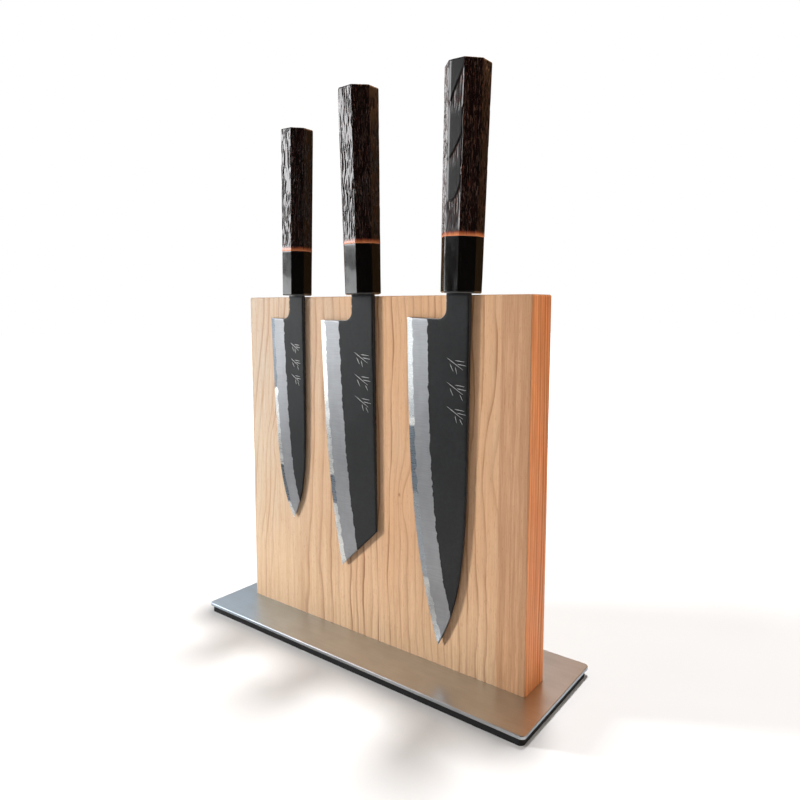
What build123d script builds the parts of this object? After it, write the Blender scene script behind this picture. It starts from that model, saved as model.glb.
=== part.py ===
from build123d import *
import os

# Upright magnetic knife stand with three kitchen knives held against its front face.
# Millimetres. Origin: centre of the underside of the foot pad. +Z is up. The knives hang
# on the face that looks along -Y, and slide off it along -Y.

# ---- wooden block: two layers glued face to face, each edge-glued from two staves ----
BLOCK_W = 242.0
BLOCK_T = 25.0
BLOCK_H = 240.0
BLOCK_EASE = 1.2
STRIP_W = 20.0          # the narrow stave along one edge of each layer

# ---- foot: steel plate on a rubber pad ----
PLATE_W = 275.0
PLATE_D = 93.0
PLATE_T = 2.0
PLATE_CORNER_R = 3.0
PLATE_EASE = 0.3
PAD_T = 5.0
PAD_INSET = 1.5
FOOT_H = PAD_T + PLATE_T

# ---- magnets and their steel keepers, milled in from the glue plane ----
SKIN = 2.5              # wood left between the magnets and each outer face
MAGNET_T = 6.0
MAGNET_SIDE = 20.0
MAGNET_PITCH = 25.0
MAGNET_COUNT = 8
KEEPER_T = BLOCK_T / 2 - SKIN - MAGNET_T
KEEPER_L = MAGNET_PITCH * (MAGNET_COUNT - 1) + MAGNET_SIDE
ROW_UP = {"lower": 105.0, "upper": 190.0}

# ---- M5 fixings between the plate and the block ----
FIX_X = (-90.0, 0.0, 90.0)
INSERT_R = 4.0
INSERT_BORE_R = 2.5
INSERT_L = 13.0
SHANK_R = 2.4
SHANK_L = 13.0
SCREW_HEAD_R = 4.75
SCREW_HEAD_T = 2.6
SOCKET_R = 1.7
SOCKET_DEEP = 1.6
PLATE_HOLE_R = 2.75
PAD_POCKET_R = 6.0
PAD_POCKET_DEEP = 3.4

# ---- common to the knives ----
FACE_GAP = 0.3          # between a blade's flat and the wood
EDGE_T = 0.3
DISTAL_TAPER = 0.55     # share of the spine's thickness lost at the tip
BLADE_STATIONS = 18
STATION_POWER = 1.7     # gathers the stations towards the tip
NECK_H = 20.0
NECK_SEAT = 1.0         # depth the neck lets into the ferrule
FERRULE_UP = 240.9      # ferrules' undersides above the block's foot
BUTT_EASE = 1.2
FERRULE_EASE = 0.8
TANG_ROOT_W = 8.0
TANG_END_W = 4.0
TANG_OVERLAP = 1.5
TANG_L = 66.0
TANG_T = 1.9
DOWEL_R = 6.0
DOWEL_START = 3.0
DOWEL_L = 75.0

PETTY = {
    "name": "petty",
    "neck_x": -66.7, "heel_up": 224.2, "lean": 0.0,
    "length": 150.5, "heel_x": -27.6, "spine_x": 7.2, "spine_t": 2.8,
    "sweep": 8.2, "sweep_power": 1.3, "belly": 12.3, "belly_power": 6.9,
    "fall": 0.0, "drop": 13.9, "drop_power": 6.9, "corner": 1.0,
    "bevel": 14.4, "heel_rake": 0.4, "neck_edge": -7.2, "choil_r": 6.0,
    "ferrule_x": -66.3, "handle_lean": 1.07, "ferrule_l": 31.5, "handle_l": 84.5,
    "oct_w": 21.5, "oct_d": 20.4, "oct_c": 6.2, "flare": 0.00065,
}
BUNKA = {
    "name": "bunka",
    "neck_x": -3.2, "heel_up": 223.9, "lean": -0.75,
    "length": 175.2, "heel_x": -39.1, "spine_x": 9.7, "spine_t": 3.4,
    "sweep": 3.7, "sweep_power": 0.8, "belly": 12.3, "belly_power": 2.8,
    "fall": 0.0, "drop": 32.4, "drop_power": 1.0, "corner": 0.827,
    "bevel": 18.2, "heel_rake": 0.2, "neck_edge": -8.9, "choil_r": 6.0,
    "ferrule_x": -2.8, "handle_lean": -1.13, "ferrule_l": 33.0, "handle_l": 99.7,
    "oct_w": 24.2, "oct_d": 23.2, "oct_c": 7.3, "flare": 0.00095,
}
GYUTO = {
    "name": "gyuto",
    "neck_x": 73.2, "heel_up": 225.5, "lean": 0.0,
    "length": 210.4, "heel_x": -39.0, "spine_x": 8.2, "spine_t": 3.4,
    "sweep": 2.7, "sweep_power": 0.8, "belly": 22.3, "belly_power": 3.2,
    "fall": 2.0, "drop": 19.6, "drop_power": 6.0, "corner": 1.0,
    "bevel": 16.7, "heel_rake": 0.9, "neck_edge": -8.4, "choil_r": 6.0,
    "ferrule_x": 74.4, "handle_lean": 1.37, "ferrule_l": 33.0, "handle_l": 98.5,
    "oct_w": 24.1, "oct_d": 22.8, "oct_c": 7.1, "flare": 0.00075,
}


def cylinder_up(x, z, r, h):
    """A round post of radius r standing on height z over (x, 0)."""
    return Pos(x, 0, z) * Cylinder(r, h, align=(Align.CENTER, Align.CENTER, Align.MIN))


# ------------------------------------------------------------------ stand

def magnets(side, row):
    """One row of square magnets; side is -1 for the front layer, +1 for the rear one."""
    y = side * (KEEPER_T + MAGNET_T / 2)
    z = FOOT_H + ROW_UP[row]
    first = -MAGNET_PITCH * (MAGNET_COUNT - 1) / 2
    return [
        Pos(first + i * MAGNET_PITCH, y, z) * Box(MAGNET_SIDE, MAGNET_T, MAGNET_SIDE)
        for i in range(MAGNET_COUNT)
    ]


def keeper(side, row):
    """Flat steel bar behind one row of magnets."""
    return Pos(0, side * KEEPER_T / 2, FOOT_H + ROW_UP[row]) * Box(KEEPER_L, KEEPER_T, MAGNET_SIDE)


def block_blank():
    """The whole wooden block before it is divided into staves."""
    blank = Pos(0, 0, FOOT_H) * Box(
        BLOCK_W, BLOCK_T, BLOCK_H, align=(Align.CENTER, Align.CENTER, Align.MIN)
    )
    outer = blank.edges().filter_by(Axis.Z) + blank.edges().group_by(Axis.Z)[-1]
    return fillet(outer, BLOCK_EASE)


def stave(blank, side, wide):
    """The wide or the narrow stave of one layer, with its pockets."""
    width = BLOCK_W - STRIP_W if wide else STRIP_W
    middle = -STRIP_W / 2 if wide else (BLOCK_W - STRIP_W) / 2
    cell = Pos(middle, side * BLOCK_T / 4, FOOT_H + BLOCK_H / 2) * Box(width, BLOCK_T / 2, BLOCK_H)
    piece = blank & cell
    if wide:
        for row in ROW_UP:
            piece = piece - magnets(side, row) - keeper(side, row)
        for x in FIX_X:
            piece = piece - cylinder_up(x, FOOT_H, INSERT_R, INSERT_L)
    return piece


def inserts():
    """Threaded inserts in the block's foot, threads left out."""
    return [
        cylinder_up(x, FOOT_H, INSERT_R, INSERT_L) - cylinder_up(x, FOOT_H, INSERT_BORE_R, INSERT_L)
        for x in FIX_X
    ]


def screw(x):
    """Low-head socket screw, driven up through the plate from the pad's pocket."""
    head = cylinder_up(x, PAD_T - SCREW_HEAD_T, SCREW_HEAD_R, SCREW_HEAD_T)
    shank = cylinder_up(x, PAD_T, SHANK_R, SHANK_L)
    socket = Pos(x, 0, PAD_T - SCREW_HEAD_T) * extrude(RegularPolygon(SOCKET_R, 6), SOCKET_DEEP)
    return head + shank - socket


def base_plate():
    outline = RectangleRounded(PLATE_W, PLATE_D, PLATE_CORNER_R)
    plate = Pos(0, 0, PAD_T) * extrude(outline, PLATE_T)
    plate = chamfer(plate.edges().group_by(Axis.Z)[-1], PLATE_EASE)
    for x in FIX_X:
        plate = plate - cylinder_up(x, PAD_T, PLATE_HOLE_R, PLATE_T)
    return plate


def base_pad():
    outline = RectangleRounded(PLATE_W - 2 * PAD_INSET, PLATE_D - 2 * PAD_INSET, PLATE_CORNER_R)
    pad = extrude(outline, PAD_T)
    for x in FIX_X:
        pad = pad - cylinder_up(x, PAD_T - PAD_POCKET_DEEP, PAD_POCKET_R, PAD_POCKET_DEEP)
    return pad


# ------------------------------------------------------------------ knives
# A blade's own frame: x towards the spine, z up the blade from the heel, y through the
# thickness from the middle plane. t runs from 0 at the heel to 1 at the tip.

def edge_x(k, t):
    return k["heel_x"] + k["sweep"] * t ** k["sweep_power"] + k["belly"] * t ** k["belly_power"]


def spine_x(k, t):
    if k["corner"] < 1.0:
        past = max(0.0, t - k["corner"]) / (1.0 - k["corner"])
        return k["spine_x"] - k["drop"] * past ** k["drop_power"]
    return k["spine_x"] - k["fall"] * t ** k["sweep_power"] - k["drop"] * t ** k["drop_power"]


def blade_section(k, t, z):
    """Six-sided section: parallel flats behind the bevel line, then a wedge to the edge."""
    xe = edge_x(k, t)
    xs = spine_x(k, t)
    width = xs - xe
    half = k["spine_t"] / 2 * (1 - DISTAL_TAPER * t) * min(1.0, width / k["bevel"])
    half = max(half, EDGE_T / 2)
    xb = xe + min(k["bevel"], 0.9 * width)
    points = [
        (xs, -half, z), (xb, -half, z), (xe, -EDGE_T / 2, z),
        (xe, EDGE_T / 2, z), (xb, half, z), (xs, half, z),
    ]
    return make_face(Polyline(*points, close=True))


def blade_body(k):
    """Blade and neck as one blank of full height, tapering to the tip."""
    steps = [1 - (1 - i / BLADE_STATIONS) ** STATION_POWER for i in range(BLADE_STATIONS + 1)]
    if k["corner"] < 1.0:
        steps.append(k["corner"])
    sections = [blade_section(k, 0.0, NECK_H)]
    sections += [blade_section(k, t, -k["length"] * t) for t in sorted(steps)]
    return loft(sections, ruled=True)


def choil_cut(k):
    """Everything above the heel and in front of the neck, with the choil's round corner."""
    far = k["heel_x"] - 10
    high = NECK_H + 5
    neck = k["neck_edge"]
    outline = Polyline(
        (far, k["heel_rake"] * (far - neck) / (k["heel_x"] - neck)),
        (neck, 0),
        (neck, high),
        (far, high),
        close=True,
    )
    area = make_face(Plane.XZ * outline)
    area = fillet(area.vertices().sort_by_distance((neck, 0, 0))[0], k["choil_r"])
    return extrude(area, k["spine_t"], both=True)


def blade_place(k):
    y = -(BLOCK_T / 2 + FACE_GAP + k["spine_t"] / 2)
    return Location((k["neck_x"], y, FOOT_H + k["heel_up"]), (0, k["lean"], 0))


def handle_place(k):
    y = -(BLOCK_T / 2 + FACE_GAP + k["spine_t"] / 2)
    return Location((k["ferrule_x"], y, FOOT_H + FERRULE_UP), (0, k["handle_lean"], 0))


def tang(k):
    """Flat tang that runs from the neck up into the handle, in the handle's own frame."""
    outline = Polyline(
        (-TANG_ROOT_W / 2, -TANG_OVERLAP),
        (TANG_ROOT_W / 2, -TANG_OVERLAP),
        (TANG_END_W / 2, TANG_L),
        (-TANG_END_W / 2, TANG_L),
        close=True,
    )
    return handle_place(k) * extrude(make_face(Plane.XZ * outline), TANG_T / 2, both=True)


def blade(k):
    """Blade, neck and tang in one piece; the neck ends just inside the ferrule."""
    body = blade_place(k) * (blade_body(k) - choil_cut(k))
    above = handle_place(k) * Pos(0, 0, NECK_SEAT) * Box(
        BLOCK_W, BLOCK_T, NECK_H, align=(Align.CENTER, Align.CENTER, Align.MIN)
    )
    return body - above + tang(k)


def octagon(k, z):
    """The handle's octagon at height z above the ferrule's underside."""
    s = 1 + k["flare"] * z
    w = k["oct_w"] / 2 * s
    d = k["oct_d"] / 2 * s
    c = k["oct_c"] * s
    points = [
        (w, -d + c), (w, d - c), (w - c, d), (c - w, d),
        (-w, d - c), (-w, c - d), (c - w, -d), (w - c, -d),
    ]
    return Pos(0, 0, z) * make_face(Polyline(*points, close=True))


def dowel_blank(k):
    post = Cylinder(DOWEL_R, DOWEL_L, align=(Align.CENTER, Align.CENTER, Align.MIN))
    return handle_place(k) * Pos(0, 0, DOWEL_START) * post


def dowel(k):
    """Wooden dowel that joins ferrule and handle, slotted for the tang."""
    return dowel_blank(k) - tang(k)


def ferrule(k):
    body = loft([octagon(k, 0), octagon(k, k["ferrule_l"])], ruled=True)
    body = fillet(body.edges().group_by(Axis.Z)[0], FERRULE_EASE)
    return handle_place(k) * body - dowel_blank(k) - blade(k)


def handle(k):
    low = k["ferrule_l"]
    high = low + k["handle_l"]
    body = loft([octagon(k, low), octagon(k, high)], ruled=True)
    body = chamfer(body.edges().group_by(Axis.Z)[-1], BUTT_EASE)
    return handle_place(k) * body - dowel_blank(k)


# ------------------------------------------------------------------ output

def build():
    blank = block_blank()
    nodes = {
        "base_pad": [base_pad()],
        "base_plate": [base_plate()],
        "base_screws": [screw(x) for x in FIX_X],
        "threaded_inserts": inserts(),
    }
    for layer, side in (("front", -1), ("rear", 1)):
        nodes[f"stave_{layer}_wide"] = [stave(blank, side, True)]
        nodes[f"stave_{layer}_strip"] = [stave(blank, side, False)]
        for row in ROW_UP:
            nodes[f"magnets_{layer}_{row}"] = magnets(side, row)
            nodes[f"keeper_{layer}_{row}"] = [keeper(side, row)]
    for k in (PETTY, BUNKA, GYUTO):
        name = k["name"]
        nodes[f"{name}_blade"] = [blade(k)]
        nodes[f"{name}_ferrule"] = [ferrule(k)]
        nodes[f"{name}_dowel"] = [dowel(k)]
        nodes[f"{name}_handle"] = [handle(k)]
    return nodes


os.makedirs("parts", exist_ok=True)
for node, pieces in build().items():
    solids = [s for piece in pieces for s in piece.solids()]
    shape = solids[0] if len(solids) == 1 else Compound(children=solids)
    export_step(shape, f"parts/{node}.step")
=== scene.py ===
import math
import bpy
import numpy as np
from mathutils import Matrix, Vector, noise
from mathutils.geometry import delaunay_2d_cdt

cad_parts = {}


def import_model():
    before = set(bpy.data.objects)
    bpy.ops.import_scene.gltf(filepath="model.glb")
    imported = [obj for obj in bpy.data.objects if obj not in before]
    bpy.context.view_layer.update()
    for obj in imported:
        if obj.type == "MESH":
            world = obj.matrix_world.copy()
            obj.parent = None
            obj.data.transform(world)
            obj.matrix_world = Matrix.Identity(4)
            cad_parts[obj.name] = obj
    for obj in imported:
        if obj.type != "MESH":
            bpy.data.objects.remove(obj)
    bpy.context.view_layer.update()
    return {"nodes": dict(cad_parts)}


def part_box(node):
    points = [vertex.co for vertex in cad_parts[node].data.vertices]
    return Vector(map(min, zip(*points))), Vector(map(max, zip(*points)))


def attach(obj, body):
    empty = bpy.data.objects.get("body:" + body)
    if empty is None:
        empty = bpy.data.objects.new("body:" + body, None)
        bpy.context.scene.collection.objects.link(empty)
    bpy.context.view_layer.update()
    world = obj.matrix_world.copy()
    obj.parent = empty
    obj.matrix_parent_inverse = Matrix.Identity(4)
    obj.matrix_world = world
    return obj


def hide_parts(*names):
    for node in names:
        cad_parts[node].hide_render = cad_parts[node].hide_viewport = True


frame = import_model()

# Looks for the magnetic knife block and its three knives. Sizes are in millimetres, and in
# metres where a name ends in _M; MM turns millimetres into metres. The pieces' places come
# from the frame's own boxes. Colours are linear. Seeds only choose a piece of the noise.
MM = 0.001


def node_box(name):
    """A CAD node's lowest and highest corners in millimetres."""
    low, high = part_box(name)
    return np.array(low) / MM, np.array(high) / MM


def smoothstep(low, high, x):
    t = np.clip((np.asarray(x, float) - low) / (high - low), 0, 1)
    return t * t * (3 - 2 * t)


def grain_noise(points, sizes, seed):
    """Perlin noise of points, where sizes are its feature lengths along x, y and z."""
    scaled = points / np.array(sizes, float) + seed * 17.3
    return np.array([noise.noise(Vector(p)) for p in scaled])


# ------------------------------------------------------------------ materials

class Nodes:
    """A node tree, with short methods for the nodes it needs."""

    def __init__(self, tree):
        self.tree = tree
        tree.nodes.clear()

    def node(self, kind, **props):
        made = self.tree.nodes.new(kind)
        for key, value in props.items():
            setattr(made, key, value)
        return made

    def feed(self, socket, value):
        if isinstance(value, bpy.types.NodeSocket):
            self.tree.links.new(value, socket)
        else:
            socket.default_value = value

    def math(self, operation, *values):
        made = self.node("ShaderNodeMath", operation=operation)
        for socket, value in zip(made.inputs, values):
            self.feed(socket, value)
        return made.outputs[0]

    def add(self, *values):
        total = values[0]
        for value in values[1:]:
            total = self.math("ADD", total, value)
        return total

    def times(self, *values):
        total = values[0]
        for value in values[1:]:
            total = self.math("MULTIPLY", total, value)
        return total

    def ramp(self, value, low, high, start, end, kind="LINEAR"):
        """start while value is below low, end where it is past high."""
        made = self.node("ShaderNodeMapRange", interpolation_type=kind)
        for socket, given in zip(made.inputs, (value, low, high, start, end)):
            self.feed(socket, given)
        return made.outputs[0]

    def step(self, value, low, high, start=0.0, end=1.0):
        return self.ramp(value, low, high, start, end, "SMOOTHSTEP")

    def mix(self, factor, first, second):
        """A mix of two colours."""
        made = self.node("ShaderNodeMix", data_type="RGBA")
        for index, given in ((0, factor), (6, first), (7, second)):
            self.feed(made.inputs[index], given)
        return made.outputs[2]

    def mix_numbers(self, factor, first, second):
        made = self.node("ShaderNodeMix", data_type="FLOAT")
        for index, given in ((0, factor), (2, first), (3, second)):
            self.feed(made.inputs[index], given)
        return made.outputs[0]

    def parts(self, vector):
        """A vector's x, y and z."""
        made = self.node("ShaderNodeSeparateXYZ")
        self.feed(made.inputs[0], vector)
        return made.outputs[0], made.outputs[1], made.outputs[2]


class Surface(Nodes):
    """One procedural material on the standard shader."""

    def __init__(self, name, **fixed):
        self.material = bpy.data.materials.new(name)
        self.material.use_nodes = True
        super().__init__(self.material.node_tree)
        self.shader = self.node("ShaderNodeBsdfPrincipled")
        out = self.node("ShaderNodeOutputMaterial")
        self.feed(out.inputs[0], self.shader.outputs[0])
        for socket, value in fixed.items():
            self.shader.inputs[socket.replace("_", " ")].default_value = value

    def set(self, socket, value):
        self.feed(self.shader.inputs[socket], value)

    def place(self):
        """Object coordinates in millimetres."""
        scaled = self.node("ShaderNodeVectorMath", operation="SCALE")
        self.feed(scaled.inputs[0], self.node("ShaderNodeTexCoord").outputs["Object"])
        scaled.inputs["Scale"].default_value = 1 / MM
        return scaled.outputs[0]

    def noise(self, vector, sizes, detail=2.0, rough=0.5, seed=0.0):
        """Noise from 0 to 1; sizes are its feature lengths along x, y and z."""
        stretch = self.node("ShaderNodeVectorMath", operation="MULTIPLY_ADD")
        self.feed(stretch.inputs[0], vector)
        stretch.inputs[1].default_value = [1 / s for s in sizes]
        stretch.inputs[2].default_value = (seed, seed * 1.7, seed * 0.6)
        made = self.node("ShaderNodeTexNoise")
        self.feed(made.inputs["Vector"], stretch.outputs[0])
        made.inputs["Scale"].default_value = 1.0
        made.inputs["Detail"].default_value = detail
        made.inputs["Roughness"].default_value = rough
        return made.outputs["Fac"]

    def swing(self, vector, sizes, reach, seed=0.0, detail=1.0):
        """Noise centred on nought, reaching about plus and minus reach."""
        value = self.noise(vector, sizes, detail=detail, seed=seed)
        return self.times(self.math("SUBTRACT", value, 0.5), 2.0 * reach)

    def attribute(self, name):
        return self.node("ShaderNodeAttribute", attribute_name=name).outputs["Fac"]

    def facing(self, axis):
        """How squarely the surface faces along an axis, either way, from 0 to 1."""
        normal = self.node("ShaderNodeNewGeometry").outputs["Normal"]
        return self.math("ABSOLUTE", self.parts(normal)[axis])

    def bump(self, height, depth):
        made = self.node("ShaderNodeBump")
        made.inputs["Strength"].default_value = 1.0
        made.inputs["Distance"].default_value = depth * MM
        self.feed(made.inputs["Height"], height)
        self.feed(self.shader.inputs["Normal"], made.outputs[0])


def ring_lines(s, phase, fine=10.0):
    """Growth rings from a phase: each ends in a thin dark line, stronger in some rings."""
    inside = s.math("FRACT", phase)
    pick = s.node("ShaderNodeTexWhiteNoise", noise_dimensions="1D")
    s.feed(pick.inputs["W"], s.math("FLOOR", phase))
    strength = s.step(pick.outputs["Value"], 0.0, 1.0, 0.28, 1.0)
    close = s.step(inside, 0.94, 1.0, 1.0, 0.0)
    thin = s.times(s.math("POWER", s.step(inside, 0.0, 0.95), fine), close)
    wide = s.times(s.math("POWER", s.step(inside, 0.0, 0.95), 1.6), close)
    return s.times(strength, s.add(s.times(thin, 0.90), s.times(wide, 0.09)))


def hump(s, x, z, middle, reach, height):
    """A smooth local swelling of the rings' phase, as around a knot."""
    across = s.math("DIVIDE", s.math("SUBTRACT", x, middle[0]), reach[0])
    along = s.math("DIVIDE", s.math("SUBTRACT", z, middle[1]), reach[1])
    falling = s.add(s.times(across, across), s.times(along, along))
    return s.times(s.math("EXPONENT", s.times(falling, -1.0)), height)


def wood_finish(s, place, lines, base, line_tone, shade_tone, grain=1.0):
    """Fibres, pores, end grain and bump that every stave shares."""
    fibre = s.noise(place, (0.40, 0.40, 22.0), detail=3.0, rough=0.6, seed=3.1)
    streak = s.noise(place, (1.7, 1.7, 90.0), detail=2.0, rough=0.6, seed=8.2)
    pores = s.noise(place, (0.30, 0.30, 4.0), detail=1.0, seed=12.4)
    base = s.mix(s.step(streak, 0.36, 0.66, 0.0, 0.34 * grain), base, shade_tone)
    base = s.mix(s.times(lines, 0.95), base, line_tone)
    base = s.mix(s.step(fibre, 0.30, 0.62, 0.42 * grain, 0.0), base, shade_tone)
    base = s.mix(s.step(pores, 0.64, 0.72, 0.0, 0.35), base, line_tone)
    end = s.step(s.facing(2), 0.6, 0.9)
    dots = s.noise(place, (0.30, 0.30, 8.0), detail=1.0, seed=2.0)
    end_tone = s.mix(s.step(dots, 0.45, 0.65), (0.36, 0.22, 0.12, 1), (0.22, 0.12, 0.06, 1))
    base = s.mix(s.times(end, 0.6), base, end_tone)
    s.set("Base Color", base)
    s.set("Roughness", s.add(s.times(fibre, 0.16), s.times(lines, 0.08), 0.42))
    s.bump(s.add(s.times(fibre, -0.5), s.times(lines, 0.6), s.times(pores, -0.5)), 0.05)


CREAM_WOOD = (0.520, 0.428, 0.312, 1)
# Painted sheen: the wide stave turns to this paler, greyer tone towards the top.
SHEEN_TOP_WOOD = (0.445, 0.415, 0.355, 1)
TAN_WOOD = (0.545, 0.330, 0.185, 1)
TAN_SHADE = (0.420, 0.235, 0.120, 1)
# Painted light: the wide stave turns to this lighter, more orange tone towards the foot.
LIT_FOOT_WOOD = (0.700, 0.485, 0.305, 1)
LINE_WOOD = (0.200, 0.075, 0.026, 1)

# The wide stave's rings across its face: (from, to, how many), in mm from its outer edge.
RING_ZONES = (
    (-20, 29, 8.4), (29, 62, 0.35), (62, 87, 2.7), (87, 132, 7.9),
    (132, 166, 5.8), (166, 203, 6.4), (203, 226, 3.7),
)
# Where the rings swell: the middle and reach, across and up, and by how many rings.
RING_HUMPS = (((151, 106), (7, 20), 1.15), ((215, 142), (11, 40), 0.85), ((26, 130), (6, 12), 0.7))
KNOT = ((147.0, 108), (1.0, 1.3), 0.9)
STRIP_RING = 3.1        # between the narrow stave's rings


def wide_stave_wood(name, mirror):
    """Flat-sawn stave with a plain middle. mirror turns it round for the rear layer."""
    s = Surface(name, Specular_IOR_Level=0.30)
    place = s.place()
    x, y, z = s.parts(place)
    low, _ = node_box("stave_front_wide")
    x = s.math("SUBTRACT", s.times(x, mirror), low[0])
    z = s.math("SUBTRACT", z, low[2])
    bend = s.times(s.math("SINE", s.add(s.math("DIVIDE", z, 44.0), 0.4)), 2.4)
    drift = s.add(bend, s.swing(place, (34.0, 60.0, 90.0), 6.5, seed=1.3))
    drift = s.add(drift, s.swing(place, (9.0, 14.0, 26.0), 1.5, seed=6.1))
    lean = s.times(s.math("SUBTRACT", z, 125.0), s.step(x, 38.0, 78.0, -0.10, 0.0))
    across = s.add(x, drift, lean, s.times(y, 0.35))
    phase = 0.0
    for start, end, count in RING_ZONES:
        phase = s.add(phase, s.ramp(across, start, end, 0.0, count))
    for middle, reach, height in RING_HUMPS:
        phase = s.add(phase, hump(s, x, z, middle, reach, height))
    lines = ring_lines(s, phase)
    fade = s.noise(place, (16.0, 20.0, 50.0), detail=2.0, seed=4.4)
    paler = s.step(x, 0.0, 130.0, 0.62, 1.0)
    lines = s.times(lines, s.step(fade, 0.34, 0.56, 0.40, 1.0), paler)
    lines = s.math("MAXIMUM", lines, hump(s, x, z, *KNOT))
    mottle = s.swing(place, (22.0, 30.0, 70.0), 0.30, seed=9.0)
    tan = s.add(s.step(x, -20.0, 165.0, 0.10, 1.0), mottle)
    # Painted sheen: paler and greyer towards the top.
    cream = s.mix(s.step(z, 60.0, 215.0), CREAM_WOOD, SHEEN_TOP_WOOD)
    base = s.mix(tan, cream, TAN_WOOD)
    # Painted light: lighter and more orange towards the foot.
    base = s.mix(s.step(z, 85.0, 0.0, 0.0, 0.7), base, LIT_FOOT_WOOD)
    wood_finish(s, place, lines, base, LINE_WOOD, TAN_SHADE)
    return s.material


def strip_wood(name):
    """Narrow stave: rings lie parallel to its face, so they show as lines on its edge."""
    s = Surface(name, Specular_IOR_Level=0.30)
    place = s.place()
    x, y, z = s.parts(place)
    sway = s.times(s.math("SINE", s.add(s.math("DIVIDE", z, 37.0), 0.9)), 1.1)
    sway = s.add(sway, s.swing(place, (30.0, 9.0, 60.0), 1.2, seed=3.3))
    phase = s.math("DIVIDE", s.add(y, sway, s.times(x, 0.03)), STRIP_RING)
    side = s.step(s.facing(0), 0.5, 0.9)
    lines = s.times(ring_lines(s, phase, 2.0), s.add(s.times(side, 0.85), 0.15))
    # Painted light: lighter towards the foot.
    tone = s.mix(s.step(z, 110.0, 0.0), (0.500, 0.290, 0.165, 1), (0.590, 0.335, 0.180, 1))
    # Painted warm light: the side faces get a deeper orange, in the tone here and in the darker
    # grain below.
    tone = s.mix(side, tone, (0.820, 0.330, 0.132, 1))
    deep = s.mix(side, (0.330, 0.175, 0.090, 1), (0.520, 0.165, 0.055, 1))
    wood_finish(s, place, lines, tone, (0.270, 0.082, 0.026, 1), deep, grain=1.8)
    return s.material


def dowel_wood():
    """Plain wood with its rings 1.8 mm apart."""
    s = Surface("dowel_wood", Specular_IOR_Level=0.3)
    place = s.place()
    x = s.parts(place)[0]
    lines = ring_lines(s, s.math("DIVIDE", s.add(x, s.swing(place, (6, 6, 40), 1.0)), 1.8))
    wood_finish(s, place, lines, CREAM_WOOD, LINE_WOOD, TAN_SHADE)
    return s.material


def burnt_wood():
    """Charred and brushed wood, unburnt in a narrow band above the ferrule, with painted glints on
    its ridges and painted shade in its grooves.
    """
    s = Surface("burnt_wood", Specular_IOR_Level=0.45, Coat_Roughness=0.16, Coat_IOR=2.0)
    place = s.place()
    deep = s.attribute("groove")
    above = s.attribute("above_ferrule")
    tone = s.noise(place, (1.3, 1.3, 16.0), detail=3.0, rough=0.6, seed=2.2)
    fleck = s.noise(place, (0.75, 0.75, 3.6), detail=2.0, rough=0.5, seed=7.7)
    char, red_char = (0.0026, 0.0006, 0.0004, 1), (0.0200, 0.0030, 0.0012, 1)
    colour = s.mix(s.step(tone, 0.35, 0.75), char, red_char)
    # Painted highlight: sparse reddish flecks, as glints on the ridges.
    colour = s.mix(s.step(fleck, 0.645, 0.71, 0.0, 0.85), colour, (0.120, 0.028, 0.013, 1))
    # Painted shade: darker in the bottom of the grooves.
    colour = s.mix(s.times(deep, 0.9), colour, (0.0010, 0.0006, 0.0006, 1))
    # Painted highlight: lighter brown along the groove edges, as light catching them.
    groove_edge_glint = s.times(s.step(deep, 0.03, 0.22), s.step(deep, 0.62, 0.35))
    groove_edge_glint = s.times(groove_edge_glint, s.step(fleck, 0.46, 0.58), 0.75)
    colour = s.mix(groove_edge_glint, colour, (0.090, 0.048, 0.032, 1))
    colour = s.mix(s.attribute("tongue"), colour, (0.0045, 0.0040, 0.0042, 1))
    dull = s.attribute("dull")
    ragged = s.add(above, s.swing(place, (0.9, 0.9, 60.0), 1.5, seed=5.1, detail=2.0))
    band = s.step(ragged, 1.7, 3.4, 1.0, 0.0)
    bare = s.mix(s.step(ragged, 0.0, 2.8), (0.58, 0.18, 0.06, 1), (0.17, 0.030, 0.010, 1))
    colour = s.mix(band, colour, bare)
    s.set("Base Color", colour)
    rough = s.add(s.times(tone, 0.22), s.times(deep, 0.35), s.times(dull, 0.10), 0.20)
    s.set("Roughness", rough)
    s.set("Coat Weight", s.step(dull, 0.0, 1.0, 1.0, 0.45))
    s.bump(s.add(s.times(tone, 0.7), s.times(fleck, 0.35)), 0.05)
    return s.material


def ferrule_black():
    """Black polished horn."""
    s = Surface(
        "ferrule_black", Specular_IOR_Level=1.0,
        Coat_Weight=1.0, Coat_Roughness=0.05, Coat_IOR=1.55,
    )
    place = s.place()
    grain = s.noise(place, (0.6, 0.6, 9.0), detail=2.0, seed=1.9)
    ripple = s.noise(place, (7.0, 7.0, 15.0), detail=1.0, seed=4.9)
    black, brown = (0.0012, 0.0010, 0.0010, 1), (0.0040, 0.0028, 0.0022, 1)
    s.set("Base Color", s.mix(s.step(grain, 0.4, 0.8), black, brown))
    s.set("Roughness", s.add(s.times(grain, 0.08), s.times(ripple, 0.10), 0.06))
    s.bump(s.add(ripple, s.times(grain, 0.08)), 0.10)
    return s.material


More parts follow.
